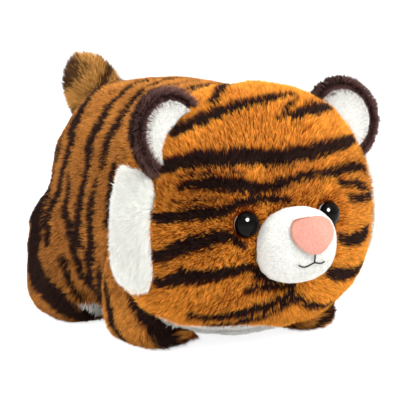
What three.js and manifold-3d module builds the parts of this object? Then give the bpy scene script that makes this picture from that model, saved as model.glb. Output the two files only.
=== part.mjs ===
import * as THREE from "three";
import { mergeVertices } from "three/addons/utils/BufferGeometryUtils.js";
import Module from "manifold-3d";

// A stuffed toy tiger that stands on four short legs: plush panels sewn round loose fibre.
// Millimetres, +Z up. The tiger faces -Y, so its left side is +X.

// Cloth and making
const skin = 3; // plush cloth with the dense foot of its pile
const clearance = 0.3; // free space wherever two pieces meet
const footFlat = 0.5; // how much of each foot the floor presses flat
const overrun = 20; // how far a cutting tool reaches past what it cuts
const curveSteps = 6; // straight pieces in each curve of an outline

// A soft form is a ball stretched to half sizes. Its exponent makes it boxier than an ellipsoid,
// widenShare widens it towards +Y, heightenShare raises its top towards +Y, deepenShare makes its
// lower half deeper, and hangShare lowers its widest level.
const body = {
  half: { x: 64, y: 88, z: 72.5 },
  place: { x: 0, y: 14, z: 75.5 },
  exponent: 2.6,
  widenShare: 0.05,
  heightenShare: 0,
  deepenShare: 0,
  hangShare: 0.26,
  segments: 28,
  rings: 14,
};

// The head's middle lies this far in front of the body's middle, and above it.
const headFrom = { forward: 70, above: 5.5 };
const head = {
  half: { x: 83, y: 42, z: 70 },
  place: {
    x: 0,
    y: body.place.y - headFrom.forward,
    z: body.place.z + headFrom.above,
  },
  exponent: 2.3,
  widenShare: 0,
  heightenShare: 0,
  deepenShare: 0.07,
  hangShare: 0.14,
  segments: 28,
  rings: 14,
};

// The muzzle's middle lies this far in front of the face, and below the head's middle.
const muzzleFrom = { forward: 2.5, below: 16.5 };
const muzzle = {
  half: { x: 25.5, y: 17, z: 21.5 },
  place: {
    x: 0,
    y: head.place.y - head.half.y - muzzleFrom.forward,
    z: head.place.z - muzzleFrom.below,
  },
  exponent: 2.4,
  widenShare: 0,
  heightenShare: 0,
  deepenShare: 0,
  hangShare: 0,
  segments: 20,
  rings: 12,
};

// Each leg's middle lies this far in from the body's side, and along it from its middle.
const legsFrom = { frontInset: 16, forward: 51, rearInset: 15, backward: 39 };
const frontLeg = {
  half: { x: 22.5, y: 26, z: 34 },
  place: {
    x: body.half.x - legsFrom.frontInset,
    y: body.place.y - legsFrom.forward,
  },
  bentBack: { right: 11, left: 0 }, // the photograph's right foot is set further back
  exponent: 3.1,
  widenShare: 0.05,
  heightenShare: 0.16,
  deepenShare: 0,
  hangShare: 0.22,
  segments: 16,
  rings: 8,
};
const rearLeg = {
  half: { x: 27, y: 31, z: 38.5 },
  place: {
    x: body.half.x - legsFrom.rearInset,
    y: body.place.y + legsFrom.backward,
  },
  bentBack: { right: 0, left: 0 },
  exponent: 2.7,
  widenShare: 0.06,
  heightenShare: 0.1,
  deepenShare: 0,
  hangShare: 0.22,
  segments: 16,
  rings: 8,
};

// The tail's middle lies this far to the right, in from the rump, and above the body's middle.
const tailFrom = { aside: 4, inset: 3, above: 53.5 };
const tail = {
  half: { x: 14.5, y: 29, z: 14.5 },
  place: {
    x: -tailFrom.aside,
    y: body.place.y + body.half.y - tailFrom.inset,
    z: body.place.z + tailFrom.above,
  },
  exponent: 2.35,
  widenShare: 0.06,
  heightenShare: 0.06,
  deepenShare: 0,
  hangShare: 0,
  segments: 16,
  rings: 8,
};
const tailTilt = { back: 62, side: 14 }; // degrees: up from level, and over to the tiger's right

// Panels, on the head by how far they reach from its middle
const bellyOval = { halfWidth: 46, halfLength: 78 };
const throatOval = { halfWidth: 68, halfLength: 57, behind: 38 };
// The chin's seam is an arch under the muzzle, and its ends lie lower.
const chinSeam = { below: 43, arch: 13, halfWidth: 62, pullShare: 0.25 };
const ruff = { forward: 17, backward: 18, above: 25, below: 37, corner: 14, thicker: 3 };

// Ears: two cupped discs of cloth, the outer one turned in round the edge of the inner one
const ear = {
  radius: 23.5,
  innerRadius: 17.5,
  cupRadius: 46,
  backCloth: 4,
  frontCloth: 3,
  inset: 21, // from the head's side to the disc's middle
  forward: 8,
  belowTop: 24,
  outward: -6, // degrees that the cup is turned from straight ahead
  upward: 8,
  segments: 20,
};

// Eyes: a plastic dome whose stem goes through the face to a washer behind it
const eye = {
  radius: 7.5,
  domeHeight: 6,
  sunk: 2, // into the pile
  stemRadius: 2.2,
  stemLength: 9,
  washerRadius: 8,
  washerThickness: 1.2,
  aside: 29.5,
  below: 3, // under the head's middle
  arcs: 6,
  segments: 20,
};

// Nose and mouth, drawn on the front of the muzzle. The nose is a pad with the outline of a
// rounded triangle: it ends this far above the muzzle's middle, and is widest a shoulder below.
const nose = {
  above: 17.2,
  height: 19.8,
  shoulder: 8,
  topHalfWidth: 5,
  halfWidth: 14.5,
  tipHalfWidth: 3,
  thickness: 2.2,
};
const mouth = { thread: 1.2, thickness: 1, stem: 4.4, halfWidth: 9.5, drop: 1.4 };

const colours = {
  orange: 0xd0813a,
  body: 0xb57842,
  white: 0xeeeee8,
  brown: 0x55403c,
  pink: 0xf2ab95,
  black: 0x14110f,
  fibre: 0xf6f4ee,
  plastic: 0xe6e6e2,
};

const wasm = await Module();
wasm.setup();

const degrees = (angle) => THREE.MathUtils.degToRad(angle);

function solidOf(geometry) {
  geometry.deleteAttribute("normal");
  geometry.deleteAttribute("uv");
  const merged = mergeVertices(geometry);
  return new wasm.Manifold(
    new wasm.Mesh({
      numProp: 3,
      vertProperties: merged.attributes.position.array,
      triVerts: new Uint32Array(merged.index.array),
    }),
  );
}

function geometryOf(solid) {
  const mesh = solid.getMesh();
  const geometry = new THREE.BufferGeometry();
  geometry.setAttribute(
    "position",
    new THREE.BufferAttribute(mesh.vertProperties, mesh.numProp),
  );
  geometry.setIndex(new THREE.BufferAttribute(mesh.triVerts, 1));
  const flat = geometry.toNonIndexed();
  flat.computeVertexNormals();
  return flat;
}

// The soft form with its surface moved out by grow, or in where grow is negative.
function softGeometry(form, grow = 0) {
  const geometry = new THREE.SphereGeometry(1, form.segments, form.rings);
  const point = new THREE.Vector3();
  const position = geometry.attributes.position;
  for (let i = 0; i < position.count; i++) {
    point.fromBufferAttribute(position, i);
    const sum =
      Math.abs(point.x) ** form.exponent +
      Math.abs(point.y) ** form.exponent +
      Math.abs(point.z) ** form.exponent;
    point.multiplyScalar(sum ** (-1 / form.exponent));
    const lower = form.hangShare * (1 - point.z * point.z) * Math.hypot(point.x, point.y);
    const raise = form.heightenShare * Math.max(point.z, 0) * point.y;
    const deepen = form.deepenShare * Math.min(point.z, 0);
    position.setXYZ(
      i,
      point.x * (1 + form.widenShare * point.y) * (form.half.x + grow),
      point.y * (form.half.y + grow),
      (point.z + raise + deepen - lower) * (form.half.z + grow),
    );
  }
  return geometry;
}

function placed(geometry, { x, y, z }) {
  return geometry.translate(x, y, z);
}

const soft = (form, grow) => solidOf(placed(softGeometry(form, grow), form.place));

function box(min, max) {
  const size = new THREE.Vector3().subVectors(max, min);
  const middle = new THREE.Vector3().addVectors(min, max).multiplyScalar(1 / 2);
  return solidOf(placed(new THREE.BoxGeometry(size.x, size.y, size.z), middle));
}

// An outline in X and Z, pushed through along Y from one place to another.
function throughFront(shape, from, to) {
  const geometry = new THREE.ExtrudeGeometry(shape, {
    depth: to - from,
    bevelEnabled: false,
    curveSegments: curveSteps,
  });
  geometry.rotateX(Math.PI / 2);
  return solidOf(geometry.translate(0, to, 0));
}

const reach = body.half.x + body.half.y + body.half.z;

// Where the skin of a form lies: its outside, its inside, and the fibre's outside.
const outside = (form) => soft(form, 0);
const inside = (form) => soft(form, -skin);
const fibre = (form) => soft(form, -skin - clearance);
const seat = (form) => soft(form, clearance);
const shell = (form) => outside(form).subtract(inside(form));

const aboveFloor = box(
  new THREE.Vector3(-reach, -reach, 0),
  new THREE.Vector3(reach, reach, reach),
);

// Body

function oval(outline, place, grow) {
  const geometry = new THREE.CylinderGeometry(1, 1, 1, body.segments);
  geometry.rotateX(Math.PI / 2);
  geometry.scale(outline.halfWidth + grow, outline.halfLength + grow, place.z);
  return solidOf(geometry.translate(place.x, place.y, place.z / 2));
}

// The body's front end lies in the head, and only its stuffing goes in there.
const bodySeat = seat(body);
const headSeat = seat(head);
const bodyShell = shell(body).subtract(headSeat);
const bellyCut = (grow) => oval(bellyOval, body.place, grow);
const halfSpace = (side) =>
  box(
    new THREE.Vector3(side > 0 ? clearance / 2 : -reach, -reach, -reach),
    new THREE.Vector3(side > 0 ? reach : -clearance / 2, reach, reach),
  );

const sides = { right: -1, left: 1 };
const pieces = new Map();

for (const [name, side] of Object.entries(sides)) {
  const panel = bodyShell.intersect(halfSpace(side)).subtract(bellyCut(clearance));
  pieces.set(name + "_back_panel", [panel, "body"]);
}
pieces.set("belly_panel", [bodyShell.intersect(bellyCut(0)), "white"]);
pieces.set("body_stuffing", [fibre(body), "fibre"]);

// Head

// The ruff's outline in Y and Z, seen from the tiger's side.
function ruffCut(side, grow) {
  const front = head.place.y - ruff.forward - grow;
  const back = head.place.y + ruff.backward + grow;
  const top = head.place.z + ruff.above + grow;
  const bottom = head.place.z - ruff.below - grow;
  const shape = new THREE.Shape();
  shape.moveTo(back, bottom);
  shape.lineTo(back, top);
  shape.lineTo(front + ruff.corner, top);
  shape.quadraticCurveTo(front, top, front, top - ruff.corner);
  shape.lineTo(front, bottom + ruff.corner);
  shape.quadraticCurveTo(front, bottom, front + ruff.corner, bottom);
  const geometry = new THREE.ExtrudeGeometry(shape, {
    depth: reach,
    bevelEnabled: false,
    curveSegments: curveSteps,
  });
  geometry.rotateX(Math.PI / 2);
  geometry.rotateZ(Math.PI / 2);
  return solidOf(geometry.translate(side > 0 ? 0 : -reach, 0, 0));
}

// Everything in front that lies below the seam that runs under the muzzle.
function chinCut(grow) {
  const low = head.place.z - head.half.z - overrun;
  const middle = head.place.z - chinSeam.below + grow;
  const ends = middle - chinSeam.arch;
  const pull = chinSeam.halfWidth * chinSeam.pullShare;
  const shape = new THREE.Shape();
  shape.moveTo(-head.half.x, low);
  shape.lineTo(head.half.x, low);
  shape.lineTo(head.half.x, ends);
  shape.lineTo(chinSeam.halfWidth, ends);
  shape.quadraticCurveTo(pull, ends, 0, middle);
  shape.quadraticCurveTo(-pull, ends, -chinSeam.halfWidth, ends);
  shape.lineTo(-head.half.x, ends);
  return throughFront(shape, head.place.y - head.half.y - overrun, body.place.y);
}
const throatPlace = {
  x: head.place.x,
  y: head.place.y + throatOval.behind,
  z: head.place.z - chinSeam.below + overrun,
};
const throatCut = (grow) => oval(throatOval, throatPlace, grow);

const ruffSeat = (side) =>
  soft(head, ruff.thicker + clearance).intersect(ruffCut(side, clearance));

const headShell = shell(head).subtract(bodySeat);
const ruffs = Object.entries(sides).map(([name, side]) => {
  const thick = soft(head, ruff.thicker).subtract(inside(head)).subtract(bodySeat);
  pieces.set(name + "_cheek_ruff", [thick.intersect(ruffCut(side, 0)), "white"]);
  return ruffCut(side, clearance);
});
const [rightRuffHole, leftRuffHole] = ruffs;
const unruffed = headShell.subtract(rightRuffHole).subtract(leftRuffHole);
const underside = unruffed.intersect(chinCut(0));
pieces.set("throat_panel", [underside.intersect(throatCut(0)), "white"]);
pieces.set("chin_panel", [underside.subtract(throatCut(clearance)), "orange"]);
let facePanel = unruffed.subtract(chinCut(clearance));
let headStuffing = fibre(head).subtract(inside(body));

// Eyes

// The point of a form's front at this X and Z.
function frontPoint(form, x, z) {
  const mesh = new THREE.Mesh(placed(softGeometry(form), form.place));
  const start = new THREE.Vector3(x, form.place.y - form.half.y - overrun, z);
  const ray = new THREE.Raycaster(start, new THREE.Vector3(0, 1, 0));
  return ray.intersectObject(mesh)[0].point;
}

// A round seat on a form's front: the middle and facing of its rim, and how far the form
// bulges out of the rim's plane.
function seatOn(form, x, z, radius) {
  const rim = [0, 1, 2].map((third) => {
    const angle = (third / 3) * 2 * Math.PI;
    return frontPoint(form, x + radius * Math.sin(angle), z + radius * Math.cos(angle));
  });
  const plane = new THREE.Plane().setFromCoplanarPoints(rim[0], rim[2], rim[1]);
  const top = frontPoint(form, x, z);
  if (plane.distanceToPoint(top) < 0) plane.negate();
  const point = plane.projectPoint(top, new THREE.Vector3());
  return { point, normal: plane.normal, bulge: plane.distanceToPoint(top) };
}

// A turned piece: its profile is points of radius and height, and it is set up along an axis.
function turned(profile, segments, { point, normal }) {
  const geometry = new THREE.LatheGeometry(profile, segments);
  const turn = new THREE.Quaternion().setFromUnitVectors(
    new THREE.Vector3(0, 1, 0),
    normal,
  );
  geometry.applyQuaternion(turn);
  return solidOf(geometry.translate(point.x, point.y, point.z));
}

function eyeProfile(base) {
  const profile = [
    new THREE.Vector2(0, -eye.stemLength),
    new THREE.Vector2(eye.stemRadius, -eye.stemLength),
    new THREE.Vector2(eye.stemRadius, base),
    new THREE.Vector2(eye.radius, base),
  ];
  for (let i = 1; i < eye.arcs; i++) {
    const angle = (i / eye.arcs) * (Math.PI / 2);
    profile.push(
      new THREE.Vector2(
        eye.radius * Math.cos(angle),
        base + eye.domeHeight * Math.sin(angle),
      ),
    );
  }
  profile.push(new THREE.Vector2(0, base + eye.domeHeight));
  return profile;
}

function ring(inner, outer, low, high) {
  return [
    new THREE.Vector2(inner, low),
    new THREE.Vector2(outer, low),
    new THREE.Vector2(outer, high),
    new THREE.Vector2(inner, high),
    new THREE.Vector2(inner, low),
  ];
}

function plug(radius, low, high) {
  return [
    new THREE.Vector2(0, low),
    new THREE.Vector2(radius, low),
    new THREE.Vector2(radius, high),
    new THREE.Vector2(0, high),
  ];
}

for (const [name, side] of Object.entries(sides)) {
  const level = head.place.z - eye.below;
  const eyeSeat = seatOn(head, side * eye.aside, level, eye.radius);
  const make = (profile) => turned(profile, eye.segments, eyeSeat);
  const washerTop = -skin - 2 * clearance;
  const washerBottom = washerTop - eye.washerThickness;
  const bore = eye.stemRadius + clearance;
  const pocket = eyeSeat.bulge - eye.sunk;
  pieces.set(name + "_eye", [make(eyeProfile(pocket + clearance)), "black"]);
  pieces.set(name + "_eye_washer", [
    make(ring(bore, eye.washerRadius, washerBottom, washerTop)),
    "plastic",
  ]);
  facePanel = facePanel
    .subtract(make(plug(eye.radius + clearance, pocket, overrun)))
    .subtract(make(plug(bore, -skin * 2, overrun)));
  headStuffing = headStuffing
    .subtract(make(plug(eye.washerRadius + clearance, washerBottom - clearance, overrun)))
    .subtract(make(plug(bore, -eye.stemLength - clearance, 0)));
}
pieces.set("face_panel", [facePanel, "orange"]);
pieces.set("head_stuffing", [headStuffing, "fibre"]);

// Muzzle, nose and mouth

pieces.set("muzzle_cover", [shell(muzzle).subtract(headSeat), "white"]);
pieces.set("muzzle_stuffing", [fibre(muzzle).subtract(headSeat), "fibre"]);

const muzzleFront = muzzle.place.y - muzzle.half.y - overrun;
const onMuzzle = (shape, thickness) =>
  soft(muzzle, clearance + thickness)
    .subtract(seat(muzzle))
    .intersect(throughFront(shape, muzzleFront, muzzle.place.y));

const noseTop = muzzle.place.z + nose.above;
const noseBottom = noseTop - nose.height;

function noseShape() {
  const { halfWidth, topHalfWidth, tipHalfWidth, shoulder } = nose;
  const top = noseTop;
  const bottom = noseBottom;
  const widest = top - shoulder;
  const waist = (widest + bottom) / 2;
  const shape = new THREE.Shape();
  shape.moveTo(-topHalfWidth, top);
  shape.lineTo(topHalfWidth, top);
  shape.quadraticCurveTo(halfWidth, top, halfWidth, widest);
  shape.quadraticCurveTo(halfWidth, waist, tipHalfWidth, bottom);
  shape.lineTo(-tipHalfWidth, bottom);
  shape.quadraticCurveTo(-halfWidth, waist, -halfWidth, widest);
  shape.quadraticCurveTo(-halfWidth, top, -topHalfWidth, top);
  return shape;
}
pieces.set("nose", [onMuzzle(noseShape(), nose.thickness), "pink"]);

// One thread down from the nose, which parts into two curves that droop and rise again.
function mouthShape() {
  const half = mouth.thread / 2;
  const start = noseBottom - clearance;
  const fork = start - mouth.stem;
  const shape = new THREE.Shape();
  shape.moveTo(-half, start);
  shape.lineTo(-half, fork);
  shape.quadraticCurveTo(
    -mouth.halfWidth / 2,
    fork - mouth.drop,
    -mouth.halfWidth,
    fork,
  );
  shape.lineTo(-mouth.halfWidth, fork - mouth.thread);
  shape.quadraticCurveTo(
    -mouth.halfWidth / 2,
    fork - mouth.drop - 2 * mouth.thread,
    0,
    fork - mouth.thread,
  );
  shape.quadraticCurveTo(
    mouth.halfWidth / 2,
    fork - mouth.drop - 2 * mouth.thread,
    mouth.halfWidth,
    fork - mouth.thread,
  );
  shape.lineTo(mouth.halfWidth, fork);
  shape.quadraticCurveTo(mouth.halfWidth / 2, fork - mouth.drop, half, fork);
  shape.lineTo(half, start);
  return shape;
}
pieces.set("mouth_stitching", [onMuzzle(mouthShape(), mouth.thickness), "black"]);

// Ears

function earPart(side, outerRadius, innerRadius, discRadius) {
  const ball = (radius) =>
    solidOf(new THREE.SphereGeometry(radius, ear.segments, ear.segments / 2));
  const disc = new THREE.CylinderGeometry(
    discRadius,
    discRadius,
    ear.cupRadius * 2,
    ear.segments,
  );
  disc.translate(0, ear.cupRadius, 0);
  const cup = ball(outerRadius).subtract(ball(innerRadius)).intersect(solidOf(disc));
  const geometry = geometryOf(cup);
  geometry.translate(0, -Math.sqrt(ear.cupRadius ** 2 - ear.radius ** 2), 0);
  geometry.rotateX(degrees(-ear.upward));
  geometry.rotateZ(degrees(side * ear.outward));
  const place = {
    x: side * (head.half.x - ear.inset),
    y: head.place.y - ear.forward,
    z: head.place.z + head.half.z - ear.belowTop,
  };
  return solidOf(placed(geometry, place));
}

for (const [name, side] of Object.entries(sides)) {
  const backInner = ear.cupRadius - ear.backCloth;
  const frontOuter = backInner - clearance;
  const trim = (solid) =>
    solid.subtract(headSeat).subtract(ruffSeat(side)).subtract(bodySeat);
  pieces.set(name + "_ear_back", [
    trim(earPart(side, ear.cupRadius, backInner, ear.radius)),
    "brown",
  ]);
  pieces.set(name + "_ear_front", [
    trim(earPart(side, frontOuter, frontOuter - ear.frontCloth, ear.innerRadius)),
    "white",
  ]);
}

// Legs

// How far below its middle a form reaches.
function lowest(form) {
  const geometry = softGeometry(form);
  geometry.computeBoundingBox();
  return geometry.boundingBox.min.z;
}

const legs = { front: frontLeg, rear: rearLeg };
for (const [end, form] of Object.entries(legs)) {
  for (const [name, side] of Object.entries(sides)) {
    const place = {
      x: side * form.place.x,
      y: form.place.y + form.bentBack[name],
      z: -lowest(form) - footFlat,
    };
    const leg = { ...form, place };
    const trim = (solid) =>
      solid
        .subtract(bodySeat)
        .subtract(headSeat)
        .subtract(ruffSeat(side))
        .intersect(aboveFloor);
    pieces.set(name + "_" + end + "_leg", [trim(shell(leg)), "body"]);
    pieces.set(name + "_" + end + "_leg_stuffing", [trim(fibre(leg)), "fibre"]);
  }
}

// Tail

function tailForm(grow) {
  const geometry = softGeometry(tail, grow);
  geometry.rotateX(degrees(tailTilt.back));
  geometry.rotateY(degrees(-tailTilt.side));
  return solidOf(placed(geometry, tail.place));
}
pieces.set("tail_cover", [
  tailForm(0).subtract(tailForm(-skin)).subtract(bodySeat),
  "body",
]);
pieces.set("tail_stuffing", [tailForm(-skin - clearance).subtract(bodySeat), "fibre"]);

// The toy, with its origin on the floor under the middle of its outline

const toy = new THREE.Group();
for (const [name, [solid, colour]] of pieces) {
  const material = new THREE.MeshStandardMaterial({
    color: colours[colour],
    roughness: colour === "black" ? 0.2 : 0.9,
    metalness: 0,
  });
  const mesh = new THREE.Mesh(geometryOf(solid), material);
  mesh.name = name;
  toy.add(mesh);
}
const middle = new THREE.Box3().setFromObject(toy).getCenter(new THREE.Vector3());
toy.position.set(-middle.x, -middle.y, 0);

export default new THREE.Group().add(toy);
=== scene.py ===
"""The looks of the plush tiger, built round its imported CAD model.

The stuffed forms are one soft surface, remeshed from the CAD solids. A coat of short blades of
pile grows on it, and each CAD piece of cloth gets the blades and the backing cloth of its part.
Lengths are in millimetres until a mesh is made. -Y is the front, +Z is up, and -X is the tiger's
right side, which the photograph shows.
"""
import math
from collections import namedtuple

import bpy
import numpy as np
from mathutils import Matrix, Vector
from mathutils.bvhtree import BVHTree
from mathutils.kdtree import KDTree


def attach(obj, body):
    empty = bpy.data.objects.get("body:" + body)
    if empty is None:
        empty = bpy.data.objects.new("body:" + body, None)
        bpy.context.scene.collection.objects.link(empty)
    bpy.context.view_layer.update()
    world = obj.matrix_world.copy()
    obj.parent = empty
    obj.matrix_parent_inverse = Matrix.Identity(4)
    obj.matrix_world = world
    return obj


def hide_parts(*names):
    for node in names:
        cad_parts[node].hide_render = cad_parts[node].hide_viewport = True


MM = 0.001
SEED = 11
SIDES = ("right", "left")

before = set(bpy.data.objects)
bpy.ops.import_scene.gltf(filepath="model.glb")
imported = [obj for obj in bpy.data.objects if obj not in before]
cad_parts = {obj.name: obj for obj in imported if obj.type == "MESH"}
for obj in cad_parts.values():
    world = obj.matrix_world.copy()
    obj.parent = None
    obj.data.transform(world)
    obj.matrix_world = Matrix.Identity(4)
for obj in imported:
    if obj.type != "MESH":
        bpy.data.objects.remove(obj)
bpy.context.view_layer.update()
rng = np.random.default_rng(SEED)

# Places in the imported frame: the middles of the forms, and the way that the tail points.
HEAD = np.array([0.0, -55.3, 81.0])
MUZZLE = np.array([0.0, -99.8, 64.5])
BODY_HEIGHT = 77.0
TAIL = np.array([-4.0, 99.7, 129.0])
TAIL_AXIS = np.array([-0.24, 0.46, 0.855])
# Where each front leg stands, by its side. -1 is the tiger's right.
FRONT_LEGS = {-1: np.array([-48.0, -25.3]), 1: np.array([48.0, -36.3])}
# The eyes lie in front of the first Y, and the rump behind the second.
EYES_FROM = -75.0
RUMP_FROM = 66.0


# ---- small helpers

def unit(a):
    """Vectors at length 1."""
    return a / np.maximum(np.linalg.norm(a, axis=-1, keepdims=True), 1e-9)


def along_surface(direction, normal):
    """The way that a direction takes along the surface."""
    direction = np.broadcast_to(direction, normal.shape)
    return unit(direction - normal * (direction * normal).sum(axis=1, keepdims=True))


def ramp(x, low, high):
    """0 up to low and 1 from high on, with a soft start and end."""
    t = np.clip((x - low) / (high - low), 0, 1)
    return t * t * (3 - 2 * t)


# How many waves a field sums, and what brings the sum to about 1.
WAVES, WAVES_SUM = 7, 2.6


def waves(points, size, seed):
    """A smooth field between about -1 and 1, whose patches are about size across."""
    own = np.random.default_rng(seed)
    k = unit(own.normal(size=(WAVES, 3))) * own.uniform(0.7, 1.4, (WAVES, 1)) * math.pi / size
    return np.sin(points @ k.T + own.uniform(0, 2 * math.pi, WAVES)).sum(axis=1) / WAVES_SUM


def linear(red, green, blue):
    """A colour as a picture shows it, 0 to 255, as a material takes it."""
    return tuple((c / 255 / 12.92 if c < 11 else ((c / 255 + 0.055) / 1.055) ** 2.4)
                 for c in (red, green, blue))


def new_object(name, data):
    """An object in the scene."""
    ob = bpy.data.objects.new(name, data)
    bpy.context.scene.collection.objects.link(ob)
    return ob


def declare(piece, node):
    """Hangs a piece on the root body and hides the CAD node that it replaces."""
    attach(piece, "root")
    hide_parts(node)


# ---- surfaces

def arrays_of(mesh):
    """A mesh's vertices, in mm, and its triangles."""
    mesh.calc_loop_triangles()
    points = np.empty(len(mesh.vertices) * 3)
    mesh.vertices.foreach_get("co", points)
    faces = np.empty(len(mesh.loop_triangles) * 3, np.int32)
    mesh.loop_triangles.foreach_get("vertices", faces)
    return points.reshape(-1, 3) / MM, faces.reshape(-1, 3)


def joined(names):
    """The CAD nodes' vertices and triangles in one, and which name each triangle is from."""
    points, faces, owner, count = [], [], [], 0
    for i, name in enumerate(names):
        p, f = arrays_of(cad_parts[name].data)
        points.append(p)
        faces.append(f + count)
        owner.append(np.full(len(f), i))
        count += len(p)
    return np.concatenate(points), np.concatenate(faces), np.concatenate(owner)


def normals_of(points, faces):
    """Each vertex's normal."""
    a, b, c = (points[faces[:, i]] for i in range(3))
    flat = np.cross(b - a, c - a)
    out = np.zeros_like(points)
    for i in range(3):
        np.add.at(out, faces[:, i], flat)
    return unit(out)


def largest_island(points, faces):
    """The largest part of a surface, without its inner walls."""
    label = np.arange(len(points))
    while True:
        lowest = label[faces].min(axis=1)
        new = label.copy()
        for i in range(3):
            np.minimum.at(new, faces[:, i], lowest)
        new = new[new]
        if (new == label).all():
            break
        label = new
    island = label[faces[:, 0]]
    faces = faces[island == np.bincount(island).argmax()]
    used, faces = np.unique(faces, return_inverse=True)
    return points[used], faces.reshape(-1, 3).astype(np.int32)


def soft_shell(names, voxel, passes):
    """One smooth closed surface round some CAD nodes: its vertices, triangles and normals."""
    points, faces, _ = joined(names)
    mesh = bpy.data.meshes.new("shell")
    mesh.from_pydata((points * MM).tolist(), [], faces.tolist())
    ob = new_object("shell", mesh)
    voxels = ob.modifiers.new("voxels", "REMESH")
    voxels.mode = "VOXEL"
    voxels.voxel_size = voxel * MM
    soften = ob.modifiers.new("soften", "SMOOTH")
    soften.factor = 0.5
    soften.iterations = passes
    made = bpy.data.meshes.new_from_object(ob.evaluated_get(bpy.context.evaluated_depsgraph_get()))
    points, faces = largest_island(*arrays_of(made))
    bpy.data.objects.remove(ob)
    bpy.data.meshes.remove(mesh)
    bpy.data.meshes.remove(made)
    return points, faces, normals_of(points, faces)


def filled(points, faces, weight, passes):
    """Raises the bottom of creases, where weight is above 0, and leaves the rest as it is."""
    one = faces[:, [0, 1, 1, 2, 2, 0]].ravel()
    two = faces[:, [1, 0, 2, 1, 0, 2]].ravel()
    count = np.bincount(one, minlength=len(points))
    for _ in range(passes):
        normals = normals_of(points, faces)
        around = [np.bincount(one, points[two, axis], len(points)) for axis in range(3)]
        around = np.stack(around, axis=1)
        rise = ((around / count[:, None] - points) * normals).sum(axis=1)
        points = points + normals * (np.maximum(rise, 0) * weight)[:, None]
    return points


def tree_of(points, faces):
    """A surface's tree, for casts and nearest places."""
    return BVHTree.FromPolygons(points.tolist(), faces.tolist())


def cast(tree, start, direction):
    """Where a ray first meets a surface, or None."""
    hit = tree.ray_cast(Vector(start), Vector(direction))
    return None if hit[0] is None else np.array(hit[0])


def nearest(tree, points):
    """For each point, the surface's nearest triangle and how far it is."""
    found = [tree.find_nearest(p) for p in points.tolist()]
    return np.array([f[2] for f in found]), np.array([f[3] for f in found])


def outside(tree, points):
    """How far each point is outside a surface, negative inside."""
    found = []
    for p in points.tolist():
        place, normal, _, away = tree.find_nearest(p)
        found.append(math.copysign(away, (Vector(p) - place).dot(normal)))
    return np.array(found)


def scatter(points, faces, normals, density):
    """Random spots on a surface, density to a square millimetre: places and normals."""
    a, b, c = (points[faces[:, i]] for i in range(3))
    area = np.linalg.norm(np.cross(b - a, c - a), axis=1) / 2
    count = int(area.sum() * density)
    face = rng.choice(len(faces), count, p=area / area.sum())
    u, v = rng.random(count), rng.random(count)
    over = u + v > 1
    u[over], v[over] = 1 - u[over], 1 - v[over]
    weight = np.stack([1 - u - v, u, v], axis=1)[:, :, None]
    places, out = ((of_each[faces[face]] * weight).sum(axis=1) for of_each in (points, normals))
    return places, unit(out)


# ---- materials

# The Mix node has sockets of every type. These are its factor and its colours.
MIX_INPUTS, MIX_RESULT = (0, 6, 7), 2
# How fast the pile's colours come in, from its foot to its tip.
GROUND_POWER, STRIPE_POWER, TIP_POWER = 1.5, 2.5, 3.5
# How much a blade's tone brightens it, and from where: 0.5 leaves it as it is.
TONE_RANGE, TONE_LEAST = 0.9, 0.55
NOISE_DETAIL = 4.0


def feed(tree, socket, value):
    """Gives a socket another node's output, a colour or a number."""
    if isinstance(value, bpy.types.NodeSocket):
        tree.links.new(value, socket)
    else:
        socket.default_value = (*value, 1) if isinstance(value, tuple) else value


def add(tree, kind, **values):
    """A new shader node, with values for its inputs."""
    node = tree.nodes.new("ShaderNode" + kind)
    for name, value in values.items():
        feed(tree, node.inputs[name], value)
    return node


def mix(tree, factor, a, b):
    """A mix of two colours."""
    node = add(tree, "Mix")
    node.data_type = "RGBA"
    for i, value in zip(MIX_INPUTS, (factor, a, b)):
        feed(tree, node.inputs[i], value)
    return node.outputs[MIX_RESULT]


def math_node(tree, operation, a, b):
    """An operation on two numbers."""
    node = add(tree, "Math")
    node.operation = operation
    feed(tree, node.inputs[0], a)
    feed(tree, node.inputs[1], b)
    return node.outputs[0]


def attribute(tree, name):
    """What a mesh carries under a name."""
    node = add(tree, "Attribute")
    node.attribute_name = name
    return node.outputs


def material(name, roughness, sheen=0.0, sheen_tint=(1, 1, 1), specular=0.5):
    """A new material, with its node tree and its shader."""
    mat = bpy.data.materials.new(name)
    mat.use_nodes = True
    shader = mat.node_tree.nodes["Principled BSDF"]
    for socket, value in (("Roughness", roughness), ("Sheen Weight", sheen),
                          ("Sheen Roughness", 0.5), ("Sheen Tint", sheen_tint),
                          ("Specular IOR Level", specular)):
        feed(mat.node_tree, shader.inputs[socket], value)
    return mat, mat.node_tree, shader


def plush(name, deep, red, gold, tip, stripe=(26, 17, 16), stripe_tip=(54, 36, 30), sheen=0.04):
    """Pile cloth: the colours of its foot, its redder and its more gold patches, its tips and its
    stripes. The darker foot is partly the pile's own darker roots and partly painted shade between
    the blades, and the lighter tip partly its own gold tips and partly a painted highlight. Its
    mesh carries, for each vertex, how much stripe it has, how far along its blade it is and the
    blade's tone, and how far towards gold its patch is."""
    mat, tree, shader = material(name, 0.85, sheen, linear(255, 236, 214), 0.0)
    parts = add(tree, "SeparateXYZ", Vector=attribute(tree, "pile")["Vector"])
    marked, height, tone = parts.outputs
    deep, red, gold, tip, stripe, stripe_tip = (
        linear(*colour) for colour in (deep, red, gold, tip, stripe, stripe_tip))

    def along(power, low, high):
        return mix(tree, math_node(tree, "POWER", height, power), low, high)

    ground = mix(tree, attribute(tree, "patch")["Fac"], red, gold)
    ground = along(TIP_POWER, along(GROUND_POWER, deep, ground), tip)
    coat = mix(tree, marked, ground, along(STRIPE_POWER, stripe, stripe_tip))
    value = math_node(tree, "MULTIPLY", tone, TONE_RANGE)
    value = math_node(tree, "ADD", value, TONE_LEAST)
    toned = add(tree, "HueSaturation", Color=coat, Value=value)
    feed(tree, shader.inputs["Base Color"], toned.outputs["Color"])
    return mat


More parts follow.
